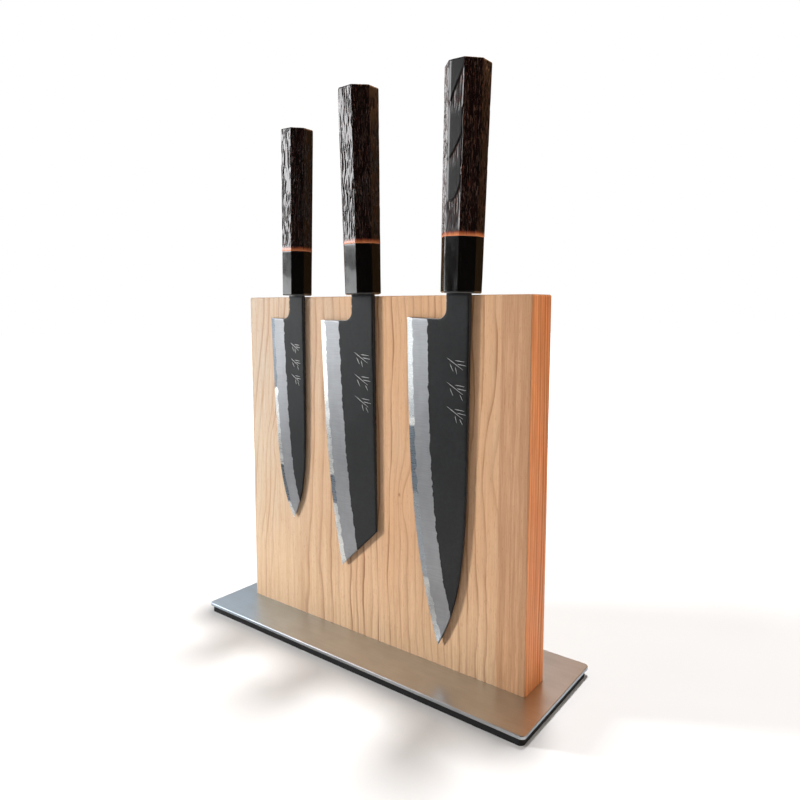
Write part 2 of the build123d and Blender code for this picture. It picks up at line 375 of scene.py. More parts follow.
def blade_steel():
    """Black forge scale on the flats, a satin bevel and a brighter strip at the edge."""
    s = Surface("blade_steel", Specular_IOR_Level=0.38)
    place = s.place()
    from_bevel = s.attribute("from_bevel")
    from_core = s.attribute("from_core")
    ragged = s.swing(place, (2.8, 3.0, 5.0), 1.9, seed=2.6, detail=5.0)
    scale = s.step(s.add(from_bevel, ragged), -0.10, 0.16)
    wander = s.swing(place, (3.0, 3.0, 6.0), 2.6, seed=8.8, detail=5.0)
    bright = s.step(s.add(from_core, wander), -0.12, 0.12, 1.0, 0.0)
    mottle = s.noise(place, (2.0, 2.0, 2.0), detail=4.0, rough=0.65, seed=5.0)
    cloud = s.noise(place, (14.0, 14.0, 22.0), detail=2.0, seed=3.0)
    black, grey = (0.0066, 0.0071, 0.0078, 1), (0.0120, 0.0128, 0.0138, 1)
    dark = s.mix(s.step(mottle, 0.3, 0.7), black, grey)
    dark = s.mix(s.step(cloud, 0.3, 0.7, 0.0, 0.45), dark, (0.0046, 0.0048, 0.0052, 1))
    pits = s.noise(place, (0.6, 0.6, 0.6), detail=1.0, seed=9.9)
    dark = s.mix(s.step(pits, 0.80, 0.84, 0.0, 0.5), dark, (0.13, 0.13, 0.13, 1))
    # Bared steel and a painted highlight: the blunt edges turn light grey.
    dark = s.mix(s.step(s.attribute("edge_wear_glint"), 0.35, 0.95), dark, (0.50, 0.50, 0.50, 1))
    brushed = s.noise(place, (9.0, 9.0, 0.30), detail=2.0, rough=0.6, seed=6.6)
    haze = s.noise(place, (7.0, 7.0, 16.0), detail=2.0, seed=7.1)
    dim, clear = (0.335, 0.341, 0.354, 1), (0.383, 0.390, 0.404, 1)
    satin = s.mix(s.step(brushed, 0.3, 0.7), dim, clear)
    satin = s.mix(s.step(haze, 0.35, 0.7, 0.0, 0.4), satin, (0.297, 0.303, 0.314, 1))
    # Painted reflections: the core strip steps along the blade from dull grey through bluish to
    # near white.
    core_reflection = s.attribute("core_reflection")
    dull, blue = (0.130, 0.140, 0.155, 1), (0.200, 0.235, 0.270, 1)
    core = s.mix(s.step(core_reflection, 0.05, 0.55), dull, blue)
    core = s.mix(s.step(core_reflection, 0.55, 1.0), core, (0.71, 0.71, 0.69, 1))
    core = s.mix(s.step(haze, 0.45, 0.62, 0.0, 0.30), core, (0.26, 0.29, 0.33, 1))
    steel = s.mix(bright, satin, core)
    s.set("Base Color", s.mix(scale, steel, dark))
    s.set("Metallic", s.step(scale, 0.3, 0.7, 1.0, 0.0))
    steel_rough = s.add(s.times(brushed, 0.10), s.times(bright, -0.10), 0.33)
    dark_rough = s.add(s.times(mottle, 0.18), 0.33)
    s.set("Roughness", s.mix_numbers(scale, steel_rough, dark_rough))
    relief = s.add(s.times(scale, s.add(s.times(mottle, 0.8), 0.6)), s.times(brushed, 0.12))
    s.bump(relief, 0.06)
    return s.material


def chiselled_steel():
    """Bright, uneven steel of the marks."""
    s = Surface("chiselled_steel", Metallic=1.0)
    cut = s.noise(s.place(), (0.5, 0.5, 0.5), detail=2.0, seed=1.1)
    s.set("Base Color", s.mix(cut, (0.42, 0.42, 0.42, 1), (0.78, 0.78, 0.76, 1)))
    s.set("Roughness", s.add(s.times(cut, 0.2), 0.35))
    return s.material


def plate_steel():
    """Brushed along the plate's length, with painted cool light towards its left end."""
    # Painted cool light: the specular tint turns the plate's reflections bluish.
    s = Surface("plate_steel", Metallic=1.0, Specular_Tint=(0.70, 0.86, 1.0, 1))
    place = s.place()
    x = s.parts(place)[0]
    brushed = s.noise(place, (60.0, 0.20, 0.6), detail=3.0, rough=0.65, seed=1.0)
    smear = s.noise(place, (22.0, 12.0, 5.0), detail=2.0, seed=6.0)
    stroke = s.step(brushed, 0.25, 0.75)
    tone = s.mix(stroke, (0.560, 0.585, 0.605, 1), (0.660, 0.685, 0.705, 1))
    # Painted cool light: bluer towards the left end.
    cool_light_tint = s.mix(stroke, (0.505, 0.580, 0.650, 1), (0.595, 0.680, 0.755, 1))
    tone = s.mix(s.step(x, 10.0, -110.0), tone, cool_light_tint)
    tone = s.mix(s.step(smear, 0.4, 0.7, 0.0, 0.25), tone, (0.455, 0.475, 0.485, 1))
    s.set("Base Color", tone)
    s.set("Roughness", s.add(s.times(brushed, 0.10), s.times(smear, 0.08), 0.25))
    s.bump(brushed, 0.012)
    return s.material


def rubber():
    """Black rubber with a fine grit."""
    s = Surface("pad_rubber", Specular_IOR_Level=0.3)
    grit = s.noise(s.place(), (0.7, 0.7, 0.7), detail=3.0, rough=0.6, seed=2.0)
    s.set("Base Color", s.mix(grit, (0.006, 0.006, 0.006, 1), (0.016, 0.016, 0.016, 1)))
    s.set("Roughness", s.add(s.times(grit, 0.25), 0.55))
    s.bump(grit, 0.06)
    return s.material


def plain_metal(name, dull, clear, rough, grain_sizes):
    """Machined, plated or rolled metal of the hidden fittings."""
    s = Surface(name, Metallic=1.0)
    place = s.place()
    grain = s.noise(place, grain_sizes, detail=3.0, rough=0.6, seed=3.0)
    stain = s.noise(place, (6.0, 6.0, 6.0), detail=2.0, seed=1.0)
    colour = s.mix(grain, dull, clear)
    s.set("Base Color", s.mix(s.step(stain, 0.5, 0.8, 0.0, 0.3), colour, dull))
    s.set("Roughness", s.add(s.times(grain, 0.12), rough))
    s.bump(grain, 0.01)
    return s.material


# ------------------------------------------------------------------ mesh helpers

def new_piece(name, verts, faces, material, body, nodes=()):
    """A mesh piece from millimetre points, riding on a body."""
    mesh = bpy.data.meshes.new(name)
    mesh.from_pydata([tuple(v) for v in np.asarray(verts) * MM], [], faces)
    mesh.validate()
    mesh.shade_smooth()
    piece = bpy.data.objects.new(name, mesh)
    bpy.context.scene.collection.objects.link(piece)
    mesh.materials.append(material)
    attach(piece, body)
    if nodes:
        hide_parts(*nodes)
    return piece


def point_values(piece, name, values):
    attribute = piece.data.attributes.new(name, "FLOAT", "POINT")
    attribute.data.foreach_set("value", np.asarray(values, float))


def flat_caps(piece):
    """Shades the two large end faces flat."""
    for face in piece.data.polygons:
        if face.loop_total > 4:
            face.use_smooth = False


def stack_rings(count, rings):
    """Faces of a closed body made of rings of count points each, capped at both ends."""
    faces = [tuple(range(count - 1, -1, -1))]
    for r in range(rings - 1):
        a, b = r * count, (r + 1) * count
        faces += [(a + i, a + (i + 1) % count, b + (i + 1) % count, b + i) for i in range(count)]
    last = (rings - 1) * count
    faces.append(tuple(last + i for i in range(count)))
    return faces


# ------------------------------------------------------------------ handles and ferrules

# Width and depth at the foot, what is cut off each corner, and growth for each mm upwards.
HANDLES = {
    "petty": {"w": 21.5, "d": 20.4, "c": 6.2, "flare": 0.00065, "patches": False, "seed": 1},
    "bunka": {"w": 24.2, "d": 23.2, "c": 7.3, "flare": 0.00095, "patches": False, "seed": 2},
    "gyuto": {"w": 24.1, "d": 22.8, "c": 7.1, "flare": 0.00075, "patches": True, "seed": 3},
}
CORNER_R = 0.7
CORNER_STEPS = 4
FACET_STEPS = 22
END_STEPS = 5
FERRULE_STEP = 0.8      # between rings of points up the ferrule, and up the handle
HANDLE_STEP = 0.45
FERRULE_FOOT_R = 0.9
FERRULE_TOP_R = 0.12
FERRULE_RIPPLE = 0.09
HANDLE_FOOT_R = 0.25
HANDLE_BUTT_R = 1.1
GROOVE_PITCH = 1.45     # between neighbouring grooves, round the handle
GROOVE_DEPTH = 0.50
FRONT_GROOVE_LOSS = 0.72            # how much shallower they are beside the tongues
FRONT_SUNK = 0.32       # how far that facet lies below its tongues
FRONT_ROUGH = 0.04
OTHER_SUNK = 0.07


def octagon_outline(h):
    """Rounded octagon about its middle: points, outward directions, facet numbers."""
    w, d, c = h["w"] / 2, h["d"] / 2, h["c"]
    corners = np.array([
        (c - w, -d), (w - c, -d), (w, c - d), (w, d - c),
        (w - c, d), (c - w, d), (-w, d - c), (-w, c - d),
    ])
    points, outward, facets = [], [], []
    for i in range(8):
        here, after, before = corners[i], corners[(i + 1) % 8], corners[i - 1]
        along = (after - here) / np.linalg.norm(after - here)
        came = (here - before) / np.linalg.norm(here - before)
        out_here = np.array([along[1], -along[0]])
        out_before = np.array([came[1], -came[0]])
        half = math.acos(np.clip(along @ came, -1, 1)) / 2
        setback = CORNER_R * math.tan(half)
        middle = here + along * setback - out_here * CORNER_R
        for j in range(CORNER_STEPS + 1):
            mixed = out_before * (1 - j / CORNER_STEPS) + out_here * j / CORNER_STEPS
            mixed /= np.linalg.norm(mixed)
            points.append(middle + mixed * CORNER_R)
            outward.append(mixed)
            facets.append(i)
        next_along = corners[(i + 2) % 8] - after
        next_along /= np.linalg.norm(next_along)
        next_setback = CORNER_R * math.tan(math.acos(np.clip(along @ next_along, -1, 1)) / 2)
        start, end = here + along * setback, after - along * next_setback
        for j in range(1, FACET_STEPS):
            points.append(start + (end - start) * j / FACET_STEPS)
            outward.append(out_here)
            facets.append(i)
    return np.array(points), np.array(outward), np.array(facets)


def handle_axis(knife):
    """Where the ferrule starts, and the direction up the handle, from the CAD boxes."""
    low_f, high_f = node_box(f"{knife}_ferrule")
    low_h, high_h = node_box(f"{knife}_handle")
    up = (low_h + high_h) / 2 - (low_f + high_f) / 2
    up[1] = 0.0
    up /= np.linalg.norm(up)
    middle = (low_f + high_f) / 2
    half = (high_f[2] - low_f[2]) / 2
    tilt = math.hypot(up[0], up[2])
    foot = middle - up * (half / tilt - abs(up[0]) * HANDLES[knife]["w"] / 2)
    length_f = 2 * (middle - foot) @ up
    top = (high_h[2] - foot[2]) / up[2] - abs(up[0]) * HANDLES[knife]["w"] / 2
    return foot, up, length_f, top


def octagon_body(h, heights, insets):
    """Rings of the octagon at heights, drawn in by insets, in the handle's own frame."""
    outline, outward, facets = octagon_outline(h)
    rings, directions = [], []
    for z, inset in zip(heights, insets):
        grown = outline * (1 + h["flare"] * z) - outward * inset
        rings.append(np.column_stack([grown, np.full(len(grown), z)]))
        directions.append(np.column_stack([outward, np.zeros(len(outward))]))
    return np.concatenate(rings), np.concatenate(directions), np.tile(facets, len(rings))


def stand_up(points, foot, up):
    """From the handle's own frame into the row frame."""
    side = np.array([up[2], 0.0, -up[0]])
    return foot + points[:, :1] * side + points[:, 1:2] * np.array([0, 1, 0]) + points[:, 2:] * up


def rounded_ends(low, high, r_low, r_high, spacing):
    """Heights and insets of rings that round both ends of a body."""
    quarter = [math.pi / 2 * i / END_STEPS for i in range(END_STEPS + 1)]
    heights = [low + r_low * (1 - math.sin(a)) for a in reversed(quarter)]
    insets = [r_low * (1 - math.cos(a)) for a in reversed(quarter)]
    count = max(2, int((high - r_high - low - r_low) / spacing))
    heights += list(np.linspace(low + r_low, high - r_high, count + 1)[1:-1])
    insets += [0.0] * (count - 1)
    heights += [high - r_high * (1 - math.sin(a)) for a in quarter]
    insets += [r_high * (1 - math.cos(a)) for a in quarter]
    return heights, insets


def ferrule(knife, material):
    h = HANDLES[knife]
    foot, up, length, _ = handle_axis(knife)
    heights, insets = rounded_ends(0.0, length, FERRULE_FOOT_R, FERRULE_TOP_R, FERRULE_STEP)
    points, outward, _ = octagon_body(h, heights, insets)
    ripple = grain_noise(points, (6.0, 6.0, 13.0), h["seed"] + 40)
    points = points - outward * (FERRULE_RIPPLE * (1 + ripple))[:, None]
    faces = stack_rings(len(points) // len(heights), len(heights))
    body = new_piece(
        f"{knife}_ferrule_polished", stand_up(points, foot, up), faces,
        material, knife, [f"{knife}_ferrule"],
    )
    body.data.set_sharp_from_angle(angle=math.radians(50))
    flat_caps(body)


def groove_depth(points, around, seed):
    """0 on the ridges, 1 in the bottom of the wandering grooves along the grain."""
    wander = grain_noise(points, (6.0, 6.0, 15.0), seed) * 1.5
    wander += grain_noise(points, (2.2, 2.2, 5.0), seed + 4) * 0.45
    phase = (around + wander) / GROOVE_PITCH
    to_line = np.abs(phase - np.round(phase)) * GROOVE_PITCH
    ring = np.round(phase)
    keyed = np.column_stack([ring * 3.7, points[:, 2] / 9.0, np.full(len(ring), seed * 5.1)])
    strength = smoothstep(-0.30, 0.20, np.array([noise.noise(Vector(p)) for p in keyed]))
    width = 0.20 + 0.32 * strength
    return (1 - smoothstep(0.0, 1.0, to_line / width)) * (0.15 + 0.85 * strength)


# Smooth tongues on the front facet, in mm above the ferrule: where the tip is at the left,
# how far its lower edge climbs to the right and how sharply, and its upper edge left and right.
PATCHES = (
    (20.0, 11.0, 3.0, 39.6, 42.4),
    (44.0, 13.6, 1.3, 68.5, 71.5),
    (75.0, 18.0, 0.9, 110.0, 110.0),
)


def smooth_patches(points, facets, h, start):
    """1 on the smooth flame-shaped tongues left standing on the front facet."""
    width = h["w"] - 2 * h["c"]
    u = (points[:, 0] + width / 2) / width
    z = points[:, 2] - start
    wave = grain_noise(points, (6.0, 6.0, 12.0), 31)
    share = np.clip((u - 0.12) / 0.88, 0, 1.2)
    curl = 2.5 * np.clip(0.16 - u, 0, 1) / 0.16
    shown = np.zeros(len(points))
    for foot, rise, power, upper_left, upper_right in PATCHES:
        lower = foot + rise * share ** power + curl
        upper = upper_left + (upper_right - upper_left) * u + wave * 1.5
        inside = smoothstep(-0.35, 0.35, z - lower) * smoothstep(-6.0, 3.0, upper - z)
        shown = np.maximum(shown, inside)
    return shown * (facets == 0) * smoothstep(0.05, 0.12, u) * (1 - smoothstep(0.97, 1.03, u))


def handle(knife, material):
    h = HANDLES[knife]
    foot, up, start, top = handle_axis(knife)
    heights, insets = rounded_ends(start, top, HANDLE_FOOT_R, HANDLE_BUTT_R, HANDLE_STEP)
    points, outward, facets = octagon_body(h, heights, insets)
    outline = octagon_outline(h)[0]
    gaps = np.linalg.norm(np.diff(outline, axis=0), axis=1)
    along = np.concatenate([[0], np.cumsum(gaps)])
    deep = groove_depth(points, np.tile(along, len(heights)), h["seed"])
    z = points[:, 2]
    reach = GROOVE_DEPTH * smoothstep(start + 1.0, start + 6.0, z)
    rough = grain_noise(points, (1.6, 1.6, 5.0), h["seed"] + 20)
    patch = np.zeros(len(z))
    front = (facets == 0).astype(float)
    if h["patches"]:
        patch = smooth_patches(points, facets, h, start)
        deep = deep * (1 - patch) * (1 - FRONT_GROOVE_LOSS * front)
        sunk = FRONT_SUNK * front * (1 - patch) * smoothstep(start + 2.0, start + 8.0, z)
        sunk += FRONT_ROUGH * rough * front * (1 - patch)
    else:
        sunk = OTHER_SUNK * (1 + rough)
    drawn_in = (deep * reach + np.maximum(sunk, 0.0) * (reach > 0.01))[:, None]
    shaped = points - outward * drawn_in
    faces = stack_rings(len(points) // len(heights), len(heights))
    body = new_piece(
        f"{knife}_handle_burnt", stand_up(shaped, foot, up), faces,
        material, knife, [f"{knife}_handle"],
    )
    point_values(body, "groove", np.where(z < top - 0.01, deep, 0.0))
    point_values(body, "tongue", patch)
    point_values(body, "dull", front * h["patches"])
    point_values(body, "above_ferrule", z - start)
    body.data.set_sharp_from_angle(angle=math.radians(60))
    flat_caps(body)


# ------------------------------------------------------------------ blades
# A blade's own frame: x towards the spine, z up from the heel, both in millimetres;
# t runs from 0 at the heel to 1 at the tip. sweep and belly curve the edge, fall and drop
# the spine, each as a distance and a power of t. From t = corner a k-tip's spine is cut
# straight to the tip. bevel and core are widths from the edge. core_reflection says from
# which t on how bright the core steel is painted: painted reflections, bright and dark
# stretches along the core strip. marks are their x, z, width and pitch.

BLADES = {
    "petty": {
        "length": 150.5, "heel_x": -27.6, "spine_x": 7.2, "spine_t": 2.8, "lean": 0.0,
        "sweep": 8.2, "sweep_power": 1.3, "belly": 12.3, "belly_power": 6.9,
        "fall": 0.0, "drop": 13.9, "drop_power": 6.9, "corner": 1.0,
        "bevel": 14.4, "rake": 0.4, "neck_x": -7.2, "core": 3.6, "seed": 1,
        "core_reflection": ((0.0, 0.32), (0.345, 1.0), (0.74, 0.36), (0.925, 0.95)),
        "marks": (-1.5, -18.0, 10.5, 11.5),
    },
    "bunka": {
        "length": 175.2, "heel_x": -39.1, "spine_x": 9.7, "spine_t": 3.4, "lean": -0.75,
        "sweep": 3.7, "sweep_power": 0.8, "belly": 12.3, "belly_power": 2.8,
        "fall": 0.0, "drop": 32.4, "drop_power": 1.0, "corner": 0.827,
        "bevel": 18.2, "rake": 0.2, "neck_x": -8.9, "core": 4.4, "seed": 2,
        "core_reflection": ((0.0, 1.0), (0.63, 0.48), (0.745, 1.0)),
        "marks": (-0.5, -22.0, 15.0, 15.0),
    },
    "gyuto": {
        "length": 210.4, "heel_x": -39.0, "spine_x": 8.2, "spine_t": 3.4, "lean": 0.0,
        "sweep": 2.7, "sweep_power": 0.8, "belly": 22.3, "belly_power": 3.2,
        "fall": 2.0, "drop": 19.6, "drop_power": 6.0, "corner": 1.0,
        "bevel": 16.7, "rake": 0.9, "neck_x": -8.4, "core": 4.6, "seed": 3,
        "core_reflection": ((0.0, 0.80), (0.305, 1.0), (0.33, 0.45), (0.53, 0.70), (0.80, 0.85)),
        "marks": (-1.0, -24.0, 15.0, 15.0),
    },
}
CHOIL_R = 6.0
DISTAL_TAPER = 0.55     # share of the spine's thickness lost between heel and tip
EDGE_HALF = 0.15
CORE_SHARE = 0.50       # share of the full half thickness reached where the core steel ends
ROUNDING = 0.6
GRID = 1.7
OUTLINE_STEPS = 110
LINE_STEPS = 120        # along each line where the slope of the face changes
LINE_GAP = 0.9          # between those lines or the grid and the outline
SPINE, NECK = 1, 2      # the two blunt stretches of a blade's outline; the edge is 0


def edge_x(k, t):
    return k["heel_x"] + k["sweep"] * t ** k["sweep_power"] + k["belly"] * t ** k["belly_power"]


def spine_x(k, t):
    if k["corner"] < 1.0:
        past = np.maximum(0.0, t - k["corner"]) / (1.0 - k["corner"])
        return k["spine_x"] - k["drop"] * past
    return k["spine_x"] - k["fall"] * t ** k["sweep_power"] - k["drop"] * t ** k["drop_power"]


def blade_outline(k, neck_top):
    """Closed outline, first down the spine, then up the edge, then heel, choil and neck."""
    t = 1 - (1 - np.linspace(0, 1, OUTLINE_STEPS)) ** 1.7
    if k["corner"] < 1.0:
        t = np.unique(np.append(t, k["corner"]))
    z = -k["length"] * t
    spine = np.column_stack([spine_x(k, t), z])
    edge = np.column_stack([edge_x(k, t), z])[::-1]
    edge[-1, 1] = k["rake"]
    neck = k["neck_x"]
    side = np.linspace(0, neck_top, 10)
    above = np.column_stack([np.full(10, k["spine_x"]), side])[::-1][:-1]
    arc = [math.pi / 2 * i / 10 for i in range(11)]
    choil = [
        (neck - CHOIL_R + CHOIL_R * math.sin(a), CHOIL_R - CHOIL_R * math.cos(a)) for a in arc
    ]
    heel = np.column_stack([
        np.linspace(k["heel_x"], neck - CHOIL_R, 14)[1:-1],
        np.linspace(k["rake"], 0, 14)[1:-1],
    ])
    up_neck = np.column_stack([np.full(5, neck), np.linspace(CHOIL_R, neck_top, 6)[1:]])
    thick = np.concatenate([heel, choil, up_neck])
    outline = np.concatenate([above, spine, edge[1:], thick])
    along_spine = np.full(len(above) + len(spine), SPINE)
    blunt = np.concatenate([along_spine, np.zeros(len(edge) - 1), np.full(len(thick), NECK)])
    return outline, blunt


def distance_to_path(points, path, wanted):
    """Shortest distance from each point to the stretches of the outline that are wanted."""
    best = np.full(len(points), 1e9)
    for i in range(len(path)):
        j = (i + 1) % len(path)
        if not (wanted[i] and wanted[j]):
            continue
        a, b = path[i], path[j]
        run = b - a
        share = np.clip(((points - a) @ run) / max(run @ run, 1e-9), 0, 1)
        gap = np.linalg.norm(points - (a + share[:, None] * run), axis=1)
        best = np.minimum(best, gap)
    return best


def half_thickness(k, points, blunt_gap):
    """Half of the blade's thickness over its outline, with the forged unevenness."""
    t = np.clip(-points[:, 1] / k["length"], 0, 1)
    from_edge = np.maximum(points[:, 0] - edge_x(k, t), 0)
    full = k["spine_t"] / 2 * (1 - DISTAL_TAPER * t)
    at_core = EDGE_HALF + (full - EDGE_HALF) * CORE_SHARE
    strip = EDGE_HALF + (at_core - EDGE_HALF) * np.minimum(from_edge / k["core"], 1)
    rest = np.clip((from_edge - k["core"]) / (k["bevel"] - k["core"]), 0, 1)
    half = np.where(from_edge < k["core"], strip, at_core + (full - at_core) * rest)
    inside = np.clip(1 - blunt_gap / ROUNDING, 0, 1)
    rounded = np.minimum(ROUNDING * (1 - np.sqrt(1 - inside ** 2)), half * 0.6)
    return half - rounded, from_edge, t


def core_reflection_along(k, t):
    """How bright the core strip is painted from heel to tip: painted reflections along it."""
    value = np.full(len(t), k["core_reflection"][0][1])
    for start, level in k["core_reflection"][1:]:
        value = np.where(t > start, level, value)
    return value


def blade_mesh(knife, material):
    """Both faces of the blade over its outline, with rows of points where a slope changes."""
    k = BLADES[knife]
    low, high = node_box(f"{knife}_blade")
    foot = handle_axis(knife)[0]
    lean = math.radians(k["lean"])
    turn = np.array([[math.cos(lean), math.sin(lean)], [-math.sin(lean), math.cos(lean)]])
    first, _ = blade_outline(k, 1.0)
    origin = low[[0, 2]] - (first @ turn.T).min(axis=0)
    neck_top = foot[2] - origin[1] + 0.6
    outline, blunt = blade_outline(k, neck_top)

    t = np.linspace(0, 0.985, LINE_STEPS)
    feature = []
    offsets = [k["bevel"] + gap for gap in (-0.25, 0, 0.25)]
    offsets += [k["core"] + gap for gap in (-0.2, 0, 0.2)]
    for offset in offsets:
        x = edge_x(k, t) + offset
        keep = x < spine_x(k, t) - LINE_GAP
        feature.append(np.column_stack([x, -k["length"] * t])[keep])
    rows = np.arange(-k["length"] + 1.0, neck_top - 0.8, GRID)
    loose = []
    for n, z in enumerate(rows):
        tt = np.clip(-z / k["length"], 0, 1)
        left = edge_x(k, tt) + LINE_GAP if z < k["rake"] - 0.8 else k["neck_x"] + LINE_GAP
        if 0 <= z + 0.8 < CHOIL_R:
            left = k["neck_x"] + 1.0
        x = np.arange(left, spine_x(k, tt) - LINE_GAP, GRID) + (n % 2) * GRID / 2
        loose.append(np.column_stack([x, np.full(len(x), z)]))
    shift = np.roll(outline, -1, axis=0) - np.roll(outline, 1, axis=0)
    inward = np.column_stack([-shift[:, 1], shift[:, 0]])
    inward = -inward / np.linalg.norm(inward, axis=1)[:, None]
    rims = [outline[blunt > 0] + inward[blunt > 0] * gap for gap in (0.12, 0.3, ROUNDING)]

    verts = list(outline)
    edges = [(i, (i + 1) % len(outline)) for i in range(len(outline))]
    for line in feature:
        start = len(verts)
        verts += list(line)
        edges += [(start + i, start + i + 1) for i in range(len(line) - 1)]
    extra = np.concatenate(loose + rims)
    taken = np.concatenate(feature)
    spaced = np.array([np.min(np.linalg.norm(taken - p, axis=1)) > 0.12 for p in extra])
    verts += list(extra[spaced])
    inside_only, merge_below = 1, 1e-5
    flat, _, faces, _, _, _ = delaunay_2d_cdt(
        [Vector(v) for v in verts], edges, [list(range(len(outline)))], inside_only, merge_below,
    )
    flat = np.array([tuple(v) for v in flat])

    gap = distance_to_path(flat, outline, blunt > 0)
    half, from_edge, t = half_thickness(k, flat, gap)
    spots = np.column_stack([flat[:, 0], np.zeros(len(flat)), flat[:, 1]])
    uneven = grain_noise(spots, (11.0, 5.0, 15.0), k["seed"]) * 0.055
    uneven += grain_noise(spots, (4.0, 5.0, 5.0), k["seed"] + 5) * 0.022
    half = half - 0.03 + uneven * smoothstep(0.5, 4.0, gap) * smoothstep(0.0, 4.0, from_edge)
    half = np.minimum(np.maximum(half, 0.05), k["spine_t"] / 2)

    middle_y = (low[1] + high[1]) / 2
    world = origin + flat @ turn.T
    front = np.column_stack([world[:, 0], middle_y - half, world[:, 1]])
    back = np.column_stack([world[:, 0], middle_y + half, world[:, 1]])
    count = len(flat)
    shown = [tuple(f) for f in faces]
    flipped = [tuple(count + i for i in reversed(f)) for f in shown]
    sides = [side for f in shown for side in zip(f, f[1:] + f[:1])]
    known = set(sides)
    walls = [(b, a, count + a, count + b) for (a, b) in sides if (b, a) not in known]
    piece = new_piece(
        f"{knife}_blade_forged", np.concatenate([front, back]), shown + flipped + walls,
        material, knife, [f"{knife}_blade"],
    )
    point_values(piece, "from_bevel", np.tile(from_edge - k["bevel"], 2))
    point_values(piece, "from_core", np.tile(from_edge - k["core"], 2))
    # Bared steel and a painted highlight: lighter along the neck and choil edges, fainter along
    # the spine.
    bright = 1 - distance_to_path(flat, outline, blunt == NECK) / 0.55
    spine_wear_glint = 0.42 * (1 - distance_to_path(flat, outline, blunt == SPINE) / 0.50)
    point_values(piece, "edge_wear_glint", np.tile(np.clip(np.maximum(bright, spine_wear_glint), 0, 1), 2))
    point_values(piece, "core_reflection", np.tile(core_reflection_along(k, t), 2))
    piece.data.set_sharp_from_angle(angle=math.radians(35))
    return k, origin, turn, middle_y


# Each mark is a sprig: a long slanting cut with short cuts beside it. The numbers are
# shares of the sprig's width and height: start, end.
SPRIG = (
    ((-0.45, 0.05), (0.35, -0.62)),
    ((-0.05, -0.10), (0.42, -0.16)),
    ((0.05, -0.30), (0.50, -0.38)),
    ((-0.28, -0.30), (-0.12, -0.72)),
    ((-0.02, -0.46), (0.06, -0.88)),
    ((0.20, -0.62), (0.34, -0.95)),
)
SPRIGS = 3
CUT_W = 0.42
CUT_PROUD = 0.05
CUT_SUNK = 0.15         # how far each mark reaches into the blade


def marks(knife, shape, material):
    """Three chiselled sprigs in a column on the blade's flat."""
    k, origin, turn, middle_y = shape
    x0, z0, width, pitch = k["marks"]
    tall = pitch * 0.72
    verts, faces = [], []
    for n in range(SPRIGS):
        for i, (start, end) in enumerate(SPRIG):
            if (i + n) % 3 == 2 and i > 2:
                continue
            a = np.array([x0 + start[0] * width, z0 - n * pitch + start[1] * tall])
            b = np.array([x0 + end[0] * width, z0 - n * pitch + end[1] * tall])
            run = (b - a) / np.linalg.norm(b - a)
            side = np.array([-run[1], run[0]]) * CUT_W / 2
            widest = a * 0.7 + b * 0.3
            flat = np.array([a, widest + side, b + side * 0.35, b - side * 0.35, widest - side])
            around = len(flat)
            half, _, _ = half_thickness(k, flat, np.full(len(flat), 9.0))
            world = origin + flat @ turn.T
            base = len(verts)
            for depth in (CUT_SUNK, -CUT_PROUD):
                verts += [(p[0], middle_y - hh + depth, p[1]) for p, hh in zip(world, half)]
            top = base + around
            faces.append(tuple(top + j for j in range(around)))
            faces.append(tuple(base + j for j in reversed(range(around))))
            for j in range(around):
                after = (j + 1) % around
                faces.append((base + j, base + after, top + after, top + j))
    piece = new_piece(f"{knife}_chisel_marks", verts, faces, material, knife)
    piece.data.shade_flat()


# ------------------------------------------------------------------ assembly

def dress(node, material):
    """Gives a CAD node its material."""
    shown = frame["nodes"][node]
    shown.data.materials.clear()
    shown.data.materials.append(material)


steel_blade = blade_steel()
steel_cut = chiselled_steel()
charred = burnt_wood()
black = ferrule_black()
hidden_dowel = dowel_wood()
for knife in ("petty", "bunka", "gyuto"):
    shape = blade_mesh(knife, steel_blade)
    marks(knife, shape, steel_cut)
    ferrule(knife, black)
    handle(knife, charred)
    dress(f"{knife}_dowel", hidden_dowel)

dress("stave_front_wide", wide_stave_wood("front_wide_wood", 1.0))
dress("stave_rear_wide", wide_stave_wood("rear_wide_wood", -1.0))
dress("stave_front_strip", strip_wood("front_strip_wood"))
dress("stave_rear_strip", strip_wood("rear_strip_wood"))
dress("base_plate", plate_steel())
dress("base_pad", rubber())
nickel = plain_metal(
    "magnet_nickel", (0.50, 0.48, 0.44, 1), (0.68, 0.66, 0.62, 1), 0.18, (2, 2, 2),
)
mild = plain_metal(
    "keeper_steel", (0.22, 0.22, 0.23, 1), (0.34, 0.34, 0.35, 1), 0.35, (30, 0.4, 0.4),
)
zinc = plain_metal(
    "zinc_steel", (0.45, 0.46, 0.48, 1), (0.62, 0.63, 0.64, 1), 0.28, (0.6, 0.6, 0.6),
)
brass = plain_metal(
    "insert_brass", (0.52, 0.36, 0.13, 1), (0.72, 0.53, 0.24, 1), 0.25, (0.4, 0.4, 6),
)
dress("base_screws", zinc)
dress("threaded_inserts", brass)
for layer in ("front", "rear"):
    for row in ("lower", "upper"):
        dress(f"magnets_{layer}_{row}", nickel)
        dress(f"keeper_{layer}_{row}", mild)


# ------------------------------------------------------------------ stage, light, camera

WHITE = (1, 1, 1, 1)
FLOOR_REACH_M = 6.0
FLOOR_RINGS = 24
FLOOR_SPOKES = 96
FLOOR_NEAR_GLOW = 0.02
FLOOR_FAR_GLOW = 1.10       # hides the far edge against the white behind it
GLOW_FROM, GLOW_TO = 250.0, 900.0
# The floor's colour where the object mirrors it, near and far: a dark room, not a white one.
MIRRORED_NEAR, MIRRORED_FAR = (0.68, 0.68, 0.68, 1), (0.10, 0.10, 0.10, 1)
MIRRORED_FROM, MIRRORED_TO = 150.0, 650.0


